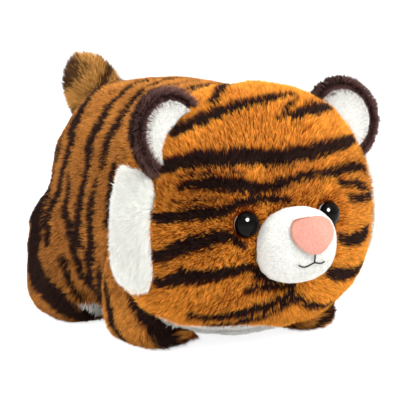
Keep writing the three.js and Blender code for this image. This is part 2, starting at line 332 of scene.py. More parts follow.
def bumpy(tree, shader, scale, strength, distance):
    """Fine surface relief from noise in object coordinates. Returns the noise."""
    where = add(tree, "TexCoord").outputs["Object"]
    noise = add(tree, "TexNoise", Vector=where, Scale=scale, Detail=NOISE_DETAIL).outputs["Fac"]
    bump = add(tree, "Bump", Strength=strength, Distance=distance, Height=noise)
    feed(tree, shader.inputs["Normal"], bump.outputs["Normal"])
    return noise


def mottled(name, roughness, dark, light, scale, strength, distance, sheen=0.0, specular=0.5):
    """A material of two near colours, mixed and made uneven by the same noise."""
    mat, tree, shader = material(name, roughness, sheen, specular=specular)
    noise = bumpy(tree, shader, scale, strength, distance)
    feed(tree, shader.inputs["Base Color"], mix(tree, noise, linear(*dark), linear(*light)))
    return mat


# ---- pile

# The share of blades that lead a tuft, and how far a blade's middle follows its tip.
LEADERS, FOLLOW = 0.2, 0.35
# Where a blade bends, and how much of its coat's lean it has below and above the bend.
BEND = 0.52
LEAN_BELOW, LEAN_ABOVE = 0.55, 1.3
PILE_OFF_FLOOR, CLOTH_OFF_FLOOR = 0.15, 0.4
# How far along it a blade's four vertices lie. The cloth is coloured like the foot of its pile,
# toned darker as painted shade under the blades.
BLADE_HEIGHTS = (0.0, 0.55, 0.55, 1.0)
CLOTH_HEIGHT, CLOTH_SHADE_TONE = 0.25, 0.3
# The same vertices in the blade's cell of the map, and the edge that the cloth leaves there.
BLADE_IN_CELL = np.array([[0.5, 0.04], [0.06, 0.5], [0.94, 0.5], [0.5, 0.96]])
CLOTH_EDGE = 0.02


def tufted(roots, tips, pull):
    """Pulls each blade's tip towards the tip of the tuft that it belongs to."""
    leaders = np.flatnonzero(rng.random(len(roots)) < LEADERS)
    tree = KDTree(len(leaders))
    for i, p in zip(leaders.tolist(), roots[leaders].tolist()):
        tree.insert(p, i)
    tree.balance()
    mine = np.array([tree.find(p)[1] for p in roots.tolist()])
    gather = (pull * rng.uniform(0.4, 1.3, len(roots)))[:, None]
    return tips + (tips[mine] - tips) * gather, mine


def grow(roots, normals, nap, length, lean, width, pull=0.34, relief=0.34):
    """Blades of pile, each a bent kite of four vertices: root, left, right and tip. Returns them,
    their shading normals, as arrays of blade, vertex and coordinate, and their tufts' leaders."""
    count = len(roots)
    length = np.broadcast_to(length, count)[:, None]
    lean = np.radians(np.broadcast_to(lean, count))[:, None] + rng.normal(0, 0.12, (count, 1))
    width = np.broadcast_to(width, count)[:, None] * rng.uniform(0.7, 1.35, (count, 1))
    swirl = rng.normal(0, 0.2, count) + 0.26 * waves(roots, 17, 5) + 0.16 * waves(roots, 6, 6)
    across = np.cross(normals, nap)
    nap = nap * np.cos(swirl)[:, None] + across * np.sin(swirl)[:, None]
    low = normals * np.cos(lean * LEAN_BELOW) + nap * np.sin(lean * LEAN_BELOW)
    high = normals * np.cos(lean * LEAN_ABOVE) + nap * np.sin(lean * LEAN_ABOVE)
    middle = roots + low * length * BEND
    above = high * length * (1 - BEND)
    tips, tuft = tufted(roots, middle + above, pull)
    middle = middle + (tips - middle - above) * FOLLOW
    axis = unit(tips - roots)
    side = unit(np.cross(normals, axis))
    turn = rng.uniform(-1.1, 1.1, (count, 1))
    side = side * np.cos(turn) + np.cross(axis, side) * np.sin(turn)
    blades = np.stack([roots, middle - side * width / 2, middle + side * width / 2, tips], axis=1)
    blades[:, :, 2] = np.maximum(blades[:, :, 2], PILE_OFF_FLOOR)
    own = unit(np.cross(axis, side))
    own *= np.sign((own * normals).sum(axis=1, keepdims=True))
    shade = unit(normals * (1 - relief) + own * relief + nap * 0.1)
    return blades, np.repeat(shade[:, None, :], 4, axis=1), tuft


def furry(name, mat, blades, shade, marked, tone, patch, cloth):
    """A piece of plush: its blades, and its cloth as points, faces, marked and patch."""
    count = len(blades)
    base = np.arange(count)[:, None] * 4
    faces = np.concatenate([base + [0, 1, 2], base + [1, 3, 2]], axis=1).reshape(-1, 3)
    pile = np.empty((count, 4, 3), np.float32)
    pile[:, :, 0] = marked[:, None]
    pile[:, :, 1] = BLADE_HEIGHTS
    pile[:, :, 2] = tone[:, None]
    # Each blade has its own cell of the map, and blades of like colours lie side by side.
    side = math.ceil(math.sqrt(count + 1))
    cell = np.empty(count, np.int64)
    cell[np.lexsort((tone, np.round(patch * 12), np.round(marked * 6)))] = np.arange(count)
    corner = np.stack([cell % side, cell // side], axis=1)[:, None, :]
    uv = ((corner + BLADE_IN_CELL) / side).reshape(-1, 2)

    c_points, c_faces, c_marked, c_patch = cloth
    faces = np.concatenate([faces, c_faces + count * 4])
    normals = np.concatenate([shade.reshape(-1, 3), normals_of(c_points, c_faces)])
    points = np.concatenate([blades.reshape(-1, 3), c_points])
    # The cloth under the pile is toned darker, as painted shade.
    under = np.empty((len(c_points), 3), np.float32)
    under[:, 0] = c_marked
    under[:, 1] = CLOTH_HEIGHT
    under[:, 2] = CLOTH_SHADE_TONE
    pile = np.concatenate([pile.reshape(-1, 3), under])
    patches = np.concatenate([np.repeat(patch, 4), c_patch])
    # The cloth is hidden by its pile, so all of it shares the map's last cell.
    low, high = c_points.min(axis=0), c_points.max(axis=0)
    place = (c_points - low) / np.maximum(high - low, 1e-6)
    spread = np.stack([place[:, 1] * 0.7 + place[:, 0] * 0.3, place[:, 2]], axis=1)
    inner = side - 1 + CLOTH_EDGE + (1 - 2 * CLOTH_EDGE) * spread
    uv = np.concatenate([uv, inner / side])

    mesh = bpy.data.meshes.new(name)
    mesh.vertices.add(len(points))
    mesh.vertices.foreach_set("co", (points * MM).astype(np.float32).ravel())
    mesh.loops.add(faces.size)
    mesh.loops.foreach_set("vertex_index", faces.astype(np.int32).ravel())
    mesh.polygons.add(len(faces))
    mesh.polygons.foreach_set("loop_start", np.arange(len(faces), dtype=np.int32) * 3)
    mesh.update(calc_edges=True)
    mesh.attributes.new("pile", "FLOAT_VECTOR", "POINT").data.foreach_set("vector", pile.ravel())
    patches = patches.astype(np.float32)
    mesh.attributes.new("patch", "FLOAT", "POINT").data.foreach_set("value", patches)
    mesh.uv_layers.new(name="OFBake").data.foreach_set("uv", uv[faces].astype(np.float32).ravel())
    mesh.normals_split_custom_set_from_vertices(normals.tolist())
    mesh.materials.append(mat)
    return new_object(name, mesh)


# ---- stripes

LINE_STEP = 4.0
# How far out a ray starts, and how far out round a front leg.
FAR_OUT, LEG_OUT = 150.0, 60.0
# The depth of a point that is near no stripe, and how far out others are measured.
NO_STRIPE, DEPTH_REACH = -50.0, 6.0


def curve_through(points):
    """A smooth line through given points, at steps of about LINE_STEP."""
    p = np.array(points, float)
    p = np.vstack([2 * p[0] - p[1], p, 2 * p[-1] - p[-2]])
    out = []
    for a, b, c, d in zip(p, p[1:], p[2:], p[3:]):
        steps = max(2, int(np.linalg.norm(c - b) / LINE_STEP))
        for t in np.linspace(0, 1, steps, endpoint=False):
            out.append(0.5 * (2 * b + (c - a) * t + (2 * a - 5 * b + 4 * c - d) * t * t
                              + (3 * b - a - 3 * c + d) * t ** 3))
    return np.array(out + [p[-2]])


def met(points, aim, start=FAR_OUT):
    """Where a line meets the soft surface from outside. aim gives a place and the way out."""
    found = []
    for point in curve_through(points):
        place, out = (np.array(a) for a in aim(*point))
        found.append(cast(soft_tree, place + out * start, -out))
    return [f for f in found if f is not None]


def sine(degrees):
    return math.sin(math.radians(degrees))


def cosine(degrees):
    return math.cos(math.radians(degrees))


def on_head(points):
    """Places of (x, degrees round the head from the front over its top)."""
    return met(points, lambda x, a: ((x, *HEAD[1:]), (0.0, -cosine(a), sine(a))))


def on_body(points):
    """Places of (degrees from the top, y). Negative is the tiger's right."""
    return met(points, lambda a, y: ((0.0, y, BODY_HEIGHT), (sine(a), 0.0, cosine(a))))


def on_rump(points):
    """Places of (x, z), as seen from behind."""
    found = met(points, lambda x, z: ((x, 50.0, z), (0.0, 1.0, 0.0)))
    return [f for f in found if f[1] > RUMP_FROM]


def on_front_leg(points, side):
    """Places of (degrees round the leg from the front, negative outwards, z)."""
    return met(points, lambda a, z: ((*FRONT_LEGS[side], z), (-side * sine(a), -cosine(a), 0.0)),
               LEG_OUT)


def add_stripe(lines, places, widths, bolder=1.0):
    """Keeps a line of places, with its half widths, which are given at even steps."""
    if len(places) > 1:
        where = np.linspace(0, 1, len(places))
        half = np.interp(where, np.linspace(0, 1, len(widths)), widths) * bolder
        lines.append((np.array(places), half))


def stripe_depth(points, lines):
    """How deep each point lies in a stripe: half width less distance, below 0 outside."""
    depth = np.full(len(points), NO_STRIPE)
    for places, widths in lines:
        for a, b, wa, wb in zip(places, places[1:], widths, widths[1:]):
            half = np.abs(b - a) / 2 + (max(wa, wb) + DEPTH_REACH)
            near = np.flatnonzero((np.abs(points - (a + b) / 2) < half).all(axis=1))
            if not len(near):
                continue
            p = points[near]
            t = np.clip(((p - a) @ (b - a)) / max((b - a) @ (b - a), 1e-9), 0, 1)
            away = np.linalg.norm(p - a - t[:, None] * (b - a), axis=1)
            depth[near] = np.maximum(depth[near], wa + (wb - wa) * t - away)
    return depth


# Each stripe is a line of given places, as its function above reads them, and its half widths.
HEAD_STRIPES = [
    ([(-58, 77), (-47, 73), (-29, 72), (-10, 72), (11, 75), (18, 76)], [3.4, 3.2, 2.0, 2.0, 1.4]),
    ([(-35, 79), (-22, 87), (-8, 95)], [1.6, 3.0, 2.0]),
    ([(20, 73), (12, 69), (5, 64), (-1, 62)], [0.8, 1.6, 0.6]),
    ([(10, 63), (32, 69), (48, 76)], [2.0, 3.8, 2.4]),
    ([(-72, 64), (-62, 57), (-52, 52), (-42, 48), (-30, 46), (-18, 43), (-5, 42), (9, 43),
      (25, 45), (44, 50), (62, 60)], [3.0, 4.0, 4.2, 3.8, 4.0, 3.8, 3.4, 2.6]),
    ([(-64, 39), (-52, 34), (-36, 29), (-24, 24), (-11, 24), (0, 27), (19, 30), (34, 30), (57, 36),
      (70, 38)], [1.8, 3.8, 2.8, 2.4, 2.2, 2.8, 2.0]),
    ([(39, 22), (56, 19), (69, 13)], [1.4, 2.4, 1.6]),
    ([(-76, 9), (-59, 9), (-46, 8), (-38, 12), (-31, 15), (-19, 16), (-1, 12)],
     [2.8, 3.2, 2.3, 2.2, 1.4]),
    ([(-64, 48), (-54, 42), (-44, 39), (-30, 36)], [0.1, 1.0, 0.8, 0.1]),
    ([(-70, 26), (-58, 21), (-46, 20)], [0.1, 0.8, 0.1]),
    ([(-76, -44), (-68, -28), (-57, -18), (-46, -13), (-38, -15), (-33, -20)],
     [3.0, 3.7, 3.2, 2.0]),
    ([(-74, -62), (-66, -49), (-56, -44), (-41, -38), (-31, -35), (-25, -37), (-16, -42),
      (-5, -47)], [2.9, 3.4, 2.6, 2.6, 1.6]),
    ([(-28, -48), (-17, -46), (-5, -47), (3, -47)], [1.6, 2.4, 1.8]),
    ([(-56, -69), (-50, -67), (-42, -64), (-34, -62), (-25, -60), (-16, -57), (-8, -55), (-1, -53),
      (4, -51)], [1.6, 2.4, 2.8, 2.8, 2.2]),
    ([(-44, -72), (-36, -69), (-26, -66), (-16, -64), (-8, -61), (-1, -58), (6, -55)],
     [1.3, 1.9, 2.0, 1.5]),
    ([(38, -24), (50, -30), (68, -33)], [2.4, 3.8, 3.4]),
    ([(30, -44), (34, -46), (53, -54), (64, -58)], [2.6, 4.0, 3.4]),
    ([(5, -53), (12, -56), (21, -61), (32, -65), (46, -69)], [1.6, 2.2, 2.2, 1.4]),
    # The far cheek and the back of the head, which the photograph hides.
    ([(46, 8), (60, 5), (76, 3)], [1.6, 2.6, 2.2]),
    ([(-62, 101), (-40, 108), (-16, 112)], [1.8, 3.0, 1.6]),
    ([(64, 100), (42, 107), (14, 112)], [1.8, 3.0, 1.6]),
]
# Both flanks carry these.
BODY_STRIPES = [
    ([(0, 60), (-46, 55), (-57, 50), (-68, 52), (-77, 52), (-86, 53), (-97, 57), (-103, 53),
      (-110, 48)], [1.2, 2.0, 3.0, 2.4, 2.0, 1.6]),
    ([(-77, 43), (-87, 40), (-95, 41), (-101, 34), (-110, 30), (-117, 26), (-125, 22), (-131, 19)],
     [1.2, 2.2, 2.0, 2.0, 1.5]),
    ([(-10, 30), (-27, 27), (-35, 27), (-42, 24), (-51, 26), (-61, 26), (-70, 23), (-78, 24),
      (-88, 25), (-96, 26), (-105, 27), (-111, 24)], [1.0, 2.0, 2.4, 2.2, 2.2, 2.0]),
    ([(-13, 13), (-40, 7), (-48, 8), (-57, 10), (-62, 9), (-68, 9)], [0.9, 1.8, 2.2, 1.4]),
    ([(-77, 11), (-84, 12), (-93, 14), (-103, 13), (-110, 13), (-119, 16), (-126, 17), (-135, 16),
      (-139, 18)], [1.4, 2.4, 2.4, 2.2]),
    ([(-63, -4), (-71, -3), (-82, -5), (-91, -5), (-98, -4)], [1.0, 2.4, 2.0]),
    ([(-116, 36), (-123, 32), (-128, 29), (-133, 27)], [1.0, 1.6, 1.2]),
    ([(-90, 64), (-98, 61), (-103, 54), (-110, 48)], [0.8, 1.4, 1.4, 0.9]),
    ([(-88, 72), (-106, 66), (-118, 63), (-124, 52), (-130, 40), (-137, 33), (-145, 33)],
     [3.2, 5.8, 6.0, 4.6, 2.4]),
    ([(-119, 6), (-129, 9), (-140, 16)], [1.2, 2.2, 1.8]),
    ([(-26, 69), (-60, 66), (-70, 72), (-84, 70)], [1.0, 2.0, 2.2, 1.4]),
    ([(-100, 76), (-112, 82), (-126, 74)], [1.4, 2.6, 2.0]),
    ([(-30, 88), (-62, 90), (-88, 88)], [1.2, 2.8, 1.6]),
    ([(-96, 94), (-118, 95), (-140, 88)], [1.4, 2.4, 1.4]),
]
SPINE_STRIPES = [
    ([(-24, -18), (-8, -13), (6, -12), (26, -17)], [1.2, 2.4, 2.4, 1.2]),
    ([(-16, 14), (-4, 17), (8, 12)], [1.4, 2.4, 1.4]),
    ([(-30, 3), (-14, 0), (4, 1), (20, 4)], [0.8, 1.4, 1.2, 0.6]),
    ([(-12, 36), (2, 32), (16, 30)], [1.2, 2.4, 2.0]),
    ([(-20, 76), (0, 74), (22, 78)], [1.2, 2.4, 1.2]),
]
RUMP_STRIPES = [
    ([(-56, 118), (-49, 102), (-45, 84), (-48, 66)], [1.6, 3.2, 3.2, 1.4]),
    ([(52, 120), (47, 104), (42, 88), (45, 70)], [1.6, 3.4, 3.0, 1.4]),
    ([(-30, 108), (-22, 92), (-6, 84), (12, 85), (24, 94), (30, 108)], [1.4, 2.8, 3.2, 2.8, 1.4]),
    ([(-36, 74), (-22, 62), (-4, 57), (14, 60), (30, 70)], [1.4, 2.8, 3.0, 2.6, 1.4]),
    ([(-66, 88), (-62, 70), (-56, 54)], [1.4, 2.6, 1.4]),
    ([(66, 92), (62, 74), (56, 58)], [1.4, 2.6, 1.4]),
    ([(-22, 42), (-4, 37), (14, 40)], [1.2, 2.2, 1.2]),
]
LEG_STRIPES = [
    ([(-66, 44), (-57, 37), (-49, 30), (-36, 23), (-29, 17), (-17, 11), (6, 6), (28, 5)],
     [5.5, 7.0, 7.4, 6.0, 3.6, 2.4]),
    ([(-128, 38), (-114, 26), (-109, 18), (-106, 11), (-95, 5)], [3.0, 3.6, 3.6]),
]
# How much bolder than its table a stripe is drawn.
HEAD_BOLDER, BODY_BOLDER = 1.22, 1.7
LEG_BOLDER = {-1: 1.0, 1: 0.5}
# How far along the tail its bands lie from its middle, and their half widths.
TAIL_BANDS = [(-15, 1.6), (-5, 0.3), (6, 2.8), (24, 4.6)]
BAND_AXIS = np.array([-0.80, 0.42, 0.43])


def all_stripes():
    """Every stripe on the soft surface but the tail's bands."""
    lines = []
    for points, widths in HEAD_STRIPES:
        add_stripe(lines, on_head(points), widths, HEAD_BOLDER)
    for points, widths in BODY_STRIPES:
        for mirror in (1, -1):
            places = on_body([(mirror * angle, y) for angle, y in points])
            add_stripe(lines, places, widths, BODY_BOLDER)
    for points, widths in SPINE_STRIPES:
        add_stripe(lines, on_body(points), widths)
    for points, widths in RUMP_STRIPES:
        add_stripe(lines, on_rump(points), widths)
    for points, widths in LEG_STRIPES:
        for side in FRONT_LEGS:
            add_stripe(lines, on_front_leg(points, side), widths, LEG_BOLDER[side])
    return lines


def tail_depth(points):
    """How deep each point lies in one of the tail's bands, in mm."""
    along = (points - TAIL) @ BAND_AXIS + 2.2 * waves(points, 13, 51)
    return np.max([half - np.abs(along - middle) for middle, half in TAIL_BANDS], axis=0)


# ---- the coat of the stuffed forms

# Each piece of cloth: its kind of coat, and how tightly it is stuffed.
CLOTHS = {
    "right_back_panel": ("body", 0.8),
    "left_back_panel": ("body", 0.8),
    "belly_panel": ("white", 0.7),
    "face_panel": ("face", 0.9),
    "chin_panel": ("face", 0.8),
    "throat_panel": ("white", 0.7),
    "right_cheek_ruff": ("ruff", None),
    "left_cheek_ruff": ("ruff", None),
    "right_front_leg": ("leg", 0.8),
    "left_front_leg": ("leg", 0.8),
    "right_rear_leg": ("rear", 0.8),
    "left_rear_leg": ("rear", 0.8),
    "tail_cover": ("tail", 0.7),
}
SKINS = list(CLOTHS)
FILLS = ["body_stuffing", "head_stuffing", "right_front_leg_stuffing", "left_front_leg_stuffing",
         "right_rear_leg_stuffing", "left_rear_leg_stuffing", "tail_stuffing"]
WHITE_KINDS = ("ruff", "white")

# Each kind of coat: its pile's length, lean in degrees and blades' width, how many blades grow on
# a square millimetre, and how deep they root.
Coat = namedtuple("Coat", "length lean width density depth")
COATS = {
    "body": Coat(6.2, 46, 0.38, 4.3, 2.6),
    "face": Coat(6.0, 42, 0.395, 3.5, 2.6),
    "leg": Coat(5.8, 46, 0.38, 4.6, 2.8),
    "rear": Coat(6.2, 46, 0.38, 4.4, 2.8),
    "tail": Coat(9.2, 24, 0.36, 6.0, 3.2),
    "ruff": Coat(7.6, 58, 0.36, 8.0, 2.0),
    "white": Coat(4.2, 50, 0.50, 2.4, 2.4),
}
CLOTH_DEPTH = 2.6
# Each coat's foot colour is darker than its tip. On the orange coats that is partly their own
# darker roots and partly painted shade between the blades, with a painted highlight on the tips.
# On the ruff and the white coat the greyer foot is painted shade and the whiter tip a painted
# highlight.
PLUSH = {
    "body": plush("body_plush", (54, 20, 5), (126, 54, 14), (184, 106, 38), (214, 146, 72)),
    "face": plush("face_plush", (104, 28, 3), (182, 58, 6), (240, 130, 28), (250, 176, 70)),
    "leg": plush("leg_plush", (84, 30, 5), (160, 70, 16), (216, 124, 38), (238, 168, 80)),
    "rear": plush("rear_plush", (54, 20, 5), (120, 52, 14), (178, 100, 36), (212, 144, 72)),
    "tail": plush("tail_plush", (92, 42, 12), (170, 96, 36), (218, 146, 60), (244, 190, 104),
                  stripe=(56, 36, 24), stripe_tip=(98, 66, 42)),
    "ruff": plush("ruff_plush", (226, 226, 218), (234, 235, 226), (240, 241, 233),
                  (248, 248, 242)),
    "white": plush("belly_plush", (234, 233, 228), (242, 242, 237), (246, 246, 241),
                   (251, 251, 248)),
}

# How much fuller the rump's upper corners are than the solids, and the way that each faces.
CORNER_RISE = 3.5
CORNER_WAY = (0.48, 0.54, 0.69)
# How far the throat's pile is combed up over the seam of the chin.
COMBED_UP = 9.5
# The x at which the belly's pile shows lowest in front of a rear foot.
REAR_FOOT = 49.7
# How much longer the pile is at the tip of a front foot.
TOE_TUFT = 6.0
# How far round an eye's axis no pile grows, how far from its middle the muzzle may reach, and how
# near to it the pile is short.
EYE_CLEAR, MUZZLE_REACH, MUZZLE_SHORT = 7.2, 45.0, 9.0


def of_coat(field):
    """A field of the coat at each spot."""
    return np.array([getattr(COATS[kind], field) for kind, _ in CLOTHS.values()], float)[owner]


def eye_axis(side):
    """A safety eye's axis: where it starts in its washer, its direction and its length."""
    eye = arrays_of(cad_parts[side + "_eye"].data)[0]
    washer = arrays_of(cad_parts[side + "_eye_washer"].data)[0]
    middle = (washer.min(axis=0) + washer.max(axis=0)) / 2
    away = unit(eye.mean(axis=0) - middle)
    return middle, away, ((eye - middle) @ away).max()


def distance_from_axis(points, start, away):
    """How far each point is from a line through start."""
    rel = points - start
    return np.linalg.norm(rel - (rel @ away)[:, None] * away, axis=1)


def nap_of(points, normals, kinds):
    """The way that the pile lies at each point, along the surface."""
    nap = np.zeros_like(points)
    flank = np.sign(points[:, :1]) * (np.abs(points[:, :1]) > 4)
    one = np.ones((len(points), 1))
    ways = {
        "face": points - MUZZLE,
        "body": np.broadcast_to([0, 1.0, -0.38], points.shape),
        "leg": np.hstack([0.25 * flank, 0.35 * one, -1.0 * one]),
        "rear": np.hstack([0.2 * flank, 0.7 * one, -0.8 * one]),
        "tail": points - (TAIL - TAIL_AXIS * 34),
        "ruff": np.hstack([0.25 * flank, 0.75 * one, (points[:, 2:] - 98) / 40]),
        "white": np.broadcast_to([0, 1.0, -0.2], points.shape),
    }
    for kind, way in ways.items():
        mine = kinds == kind
        nap[mine] = along_surface(way[mine], normals[mine])
    # Round an eye the pile lies away from it.
    for side in SIDES:
        start, away, _ = eye_axis(side)
        near = (kinds == "face") * ramp(distance_from_axis(points, start, away), 15, 9)
        near = (near * (points[:, 1] < EYES_FROM))[:, None]
        nap = unit(nap * (1 - near) + along_surface(points - start, normals) * near)
    return nap


soft_points, soft_faces, soft_normals = soft_shell(SKINS + FILLS, voxel=2.4, passes=8)
for side in (-1, 1):
    way = unit(np.array([side * CORNER_WAY[0], *CORNER_WAY[1:]]))
    corner = ramp(soft_normals @ way, 0.76, 0.97)
    corner *= (ramp(soft_points[:, 1], 30, 60)
               * ramp(np.linalg.norm(soft_points - TAIL, axis=1), 26, 40))
    soft_points = soft_points + soft_normals * (CORNER_RISE * corner)[:, None]
# The rear legs and the flanks are one stuffed form, with no deep crease between them.
x, y, z = soft_points.T
crease = ramp(y, 5, 30) * ramp(z, 24, 40) * ramp(z, 122, 104)
soft_points = filled(soft_points, soft_faces, crease, passes=150)
soft_normals = normals_of(soft_points, soft_faces)
soft_tree = tree_of(soft_points, soft_faces)
cad_points, cad_faces, cad_owner = joined(SKINS)
cad_tree = tree_of(cad_points, cad_faces)
stripe_lines = all_stripes()

# Each spot belongs to the nearest piece of cloth, but for two seams that the pile hides.
density = max(coat.density for coat in COATS.values())
spots, out = scatter(soft_points, soft_faces, soft_normals, density)
owner = cad_owner[nearest(cad_tree, spots)[0]]
throat = arrays_of(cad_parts["throat_panel"].data)
on_chin = np.flatnonzero(owner == SKINS.index("chin_panel"))
from_throat = np.full(len(spots), math.inf)
from_throat[on_chin] = nearest(tree_of(*throat), spots[on_chin])[1]
# The throat's pile is combed up over the seam of the chin, most on the tiger's right.
combed = COMBED_UP * ramp(spots[:, 0], 16, -34)
owner[from_throat < combed] = SKINS.index("throat_panel")
# The belly's pile shows in front of the rear feet.
x, y, z = spots.T
on_rear = np.isin(owner, [SKINS.index(side + "_rear_leg") for side in SIDES])
in_front = (y < 32) & (z < 17) & (z > 5.5 + 0.7 * (np.abs(x) - REAR_FOOT))
owner[on_rear & in_front] = SKINS.index("belly_panel")
kinds = np.array([kind for kind, _ in CLOTHS.values()])[owner]
# The back of the head, behind the ears, has fewer and wider blades than its front.
behind = (kinds == "face") * ramp(spots[:, 1], -58, -44)
keep = rng.random(len(spots)) < of_coat("density") / density * (1 - 0.55 * behind)
spots, out, owner, kinds, from_throat, combed, behind = (
    a[keep] for a in (spots, out, owner, kinds, from_throat, combed, behind))

nap = nap_of(spots, out, kinds)
lean = of_coat("lean")
# The cheeks' pile stands up more.
cheek = (kinds == "face") * ramp(np.abs(spots[:, 0]), 28, 62) * ramp(spots[:, 2], 130, 105)
lean -= 10 * cheek
width = of_coat("width") * (1 + 0.4 * behind)
depth = of_coat("depth")
length = of_coat("length")
uneven = rng.normal(0, 1, len(spots)) * np.where(kinds == "tail", 0.2, 0.12)
length *= 1 + 0.10 * waves(spots, 14, 3) + uneven
length *= 0.45 + 0.55 * ramp(from_throat - combed, 0, 6)
# The front feet end in a tuft of longer pile.
for foot in FRONT_LEGS.values():
    toe = spots - np.array([*foot, 0])
    ahead = (kinds == "leg") * ramp(-toe[:, 1], 12, 22) * ramp(toe[:, 2], 20, 8)
    ahead = ahead * (np.abs(toe[:, 0]) < 30)
    length += TOE_TUFT * ahead
    nap = unit(nap + ahead[:, None] * along_surface(np.array([0.2, -1.0, 0.1]), out) * 1.4)

# No pile grows under the muzzle and the eyes, and it is short beside them.
hidden = np.zeros(len(spots), bool)
muzzle_shell = soft_shell(["muzzle_cover", "muzzle_stuffing"], voxel=1.2, passes=6)
muzzle_tree = tree_of(*muzzle_shell[:2])
close = np.flatnonzero(np.linalg.norm(spots - MUZZLE, axis=1) < MUZZLE_REACH)
off = outside(muzzle_tree, spots[close])
hidden[close] = off < -0.6
length[close] *= 0.62 + 0.38 * np.minimum(1, np.abs(off) / MUZZLE_SHORT)
for side in SIDES:
    start, away, _ = eye_axis(side)
    from_axis = distance_from_axis(spots, start, away)
    near = (spots[:, 1] < EYES_FROM) & (from_axis < 14)
    hidden |= near & (from_axis < EYE_CLEAR)
    length[near] *= (0.45 + 0.55 * ramp(from_axis, 7, 13))[near]
spots, out, owner, kinds, nap, lean, length, width, depth = (
    a[~hidden] for a in (spots, out, owner, kinds, nap, lean, length, width, depth))

roots = spots - out * depth[:, None]
white = np.isin(kinds, WHITE_KINDS)
relief = np.where(white, 0.1, 0.34)[:, None]
blades, shade, tuft = grow(roots, out, nap, length, lean, width, relief=relief)
# The print lies on the tips of the pile, so a blade's stripe is read under its tip.
read = (blades[:, 3] - roots) * 0.8
read = spots + read - out * (read * out).sum(axis=1, keepdims=True)
marked = stripe_depth(read, stripe_lines)
on_tail = kinds == "tail"
marked[on_tail] = tail_depth(read[on_tail]) * 0.8
ragged = np.where((kinds == "face") | on_tail, 0.45, 0.65)
# Whole tufts stray over a stripe's edge, more on the body than on the face.
stray = rng.normal(0, 1, len(read))[tuft] * np.where(kinds == "face", 0.6, 0.75)
frayed = ragged * (waves(read, 5, 21) + waves(read, 2.4, 22))
marked += frayed + rng.normal(0, 0.75, len(read)) + stray
marked = ramp(marked, -0.7, 0.4)
marked[white] = 0
tone = rng.normal(0, 0.15, len(spots)) + 0.2 * rng.normal(0, 1, len(spots))[tuft]
tone = np.clip(0.5 + tone * np.where(white, 0.3, 1.0), 0, 1)
patch = 0.46 + 0.38 * waves(spots, 26, 31) + 0.26 * waves(spots, 9, 32)
# The chin is more gold and the temples redder. On the body the top of the back is painted more
# gold, a painted highlight from above, the lower flanks redder and darker, painted shade, and the
# front more gold.
x, y, z = spots.T
temple = ramp(np.abs(x), 26, 52) * ramp(z, 78, 92) * ramp(z, 118, 106)
patch += (kinds == "face") * (0.35 * ramp(z, 62, 40) - 0.9 * temple)
top_light_low_shade_front_gold = 0.45 * ramp(z, 105, 150) - 0.35 * ramp(z, 120, 85) + 0.25 * ramp(y, 0, -40)
patch += (kinds == "body") * top_light_low_shade_front_gold
tone -= (kinds == "face") * 0.22 * temple
patch = np.clip(patch, 0, 1)

face_owner = cad_owner[nearest(cad_tree, soft_points[soft_faces].mean(axis=1))[0]]
cloth_points = soft_points - soft_normals * CLOTH_DEPTH
cloth_points[:, 2] = np.maximum(cloth_points[:, 2], CLOTH_OFF_FLOOR)
cloth_marked = ramp(stripe_depth(soft_points, stripe_lines), -0.5, 0.7)
for i, (node, (kind, fill)) in enumerate(CLOTHS.items()):
    mine = owner == i
    used, own_faces = np.unique(soft_faces[face_owner == i], return_inverse=True)
    dark = 0 if kind in WHITE_KINDS else cloth_marked[used]
    cloth = (cloth_points[used], own_faces.reshape(-1, 3), dark, np.full(len(used), 0.4))
    piece = furry(node + "_pile", PLUSH[kind], blades[mine], shade[mine], marked[mine],
                  tone[mine], patch[mine], cloth)
    declare(piece, node)


# ---- muzzle, nose, mouth

def short_pile(node, mat, shell, density, length, lean, width, way, skip=None,
               depth=0.8, pull=0.15, relief=0.06, uneven=0.12, darker=None):
    """A piece of short pile cloth over its own soft surface. For places, way is the pile's
    direction, skip where none grows, and darker how much darker it is painted, as shade."""
    points, faces, normals = shell
    places, out = scatter(points, faces, normals, density)
    if skip is not None:
        use = ~skip(places)
        places, out = places[use], out[use]
    count = len(places)
    nap = along_surface(way(places), out)
    lengths = length * (1 + rng.normal(0, uneven, count))
    made, shading, tuft = grow(places - out * depth, out, nap, lengths, lean, width, pull=pull,
                               relief=relief)
    tones = 0.5 + rng.normal(0, 0.06, count) + 0.05 * rng.normal(0, 1, count)[tuft]
    tones = np.clip(tones, 0, 1)
    # Painted shade, where it is given, darkens the tones.
    if darker is not None:
        tones = tones - darker(places)
    patches = np.clip(0.5 + 0.4 * waves(places, 14, 41), 0, 1)
    cloth = (points - normals * depth, faces, 0, np.full(len(points), 0.6))
    piece = furry(node + "_pile", mat, made, shading, np.zeros(count), tones, patches, cloth)
    declare(piece, node)


def away_from(place):
    """A way for short pile that parts at a place."""
    return lambda p: p - place


# The mouth's heights, its thread's radius, and how far off the thread stands and pile stays. Each
# arm has its reach, how far it dips, most past its middle, and how far down it ends.
MOUTH = {"stem_top": 62.4, "fork": 57.1, "thread": 0.43, "stand_off": 1.0, "clear": 1.25,
         "arms": [(-10.0, 1.6, 0.5), (7.6, 0.8, 0.3)], "dip_power": 1.35}
# Where the pile of the muzzle and of the nose parts.
MUZZLE_PARTING = MUZZLE + np.array([0, -20.0, 8.0])
NOSE_PARTING = np.array([0, -110, 90])


def mouth_paths():
    """The mouth's lines on the muzzle: the stem, and the curve to each side."""
    def at(x, z):
        return cast(muzzle_tree, (x, MUZZLE[1] - 60, z), (0, 1, 0))

    paths = [[at(0, z) for z in np.linspace(MOUTH["stem_top"], MOUTH["fork"], 8)]]
    for reach, dip, fall in MOUTH["arms"]:
        line = []
        for t in np.linspace(0, 1, 14):
            bend = math.sin(math.pi * t ** MOUTH["dip_power"])
            line.append(at(reach * t, MOUTH["fork"] - dip * bend - fall * t * t))
        paths.append(line)
    return [np.array([p for p in path if p is not None]) for path in paths]


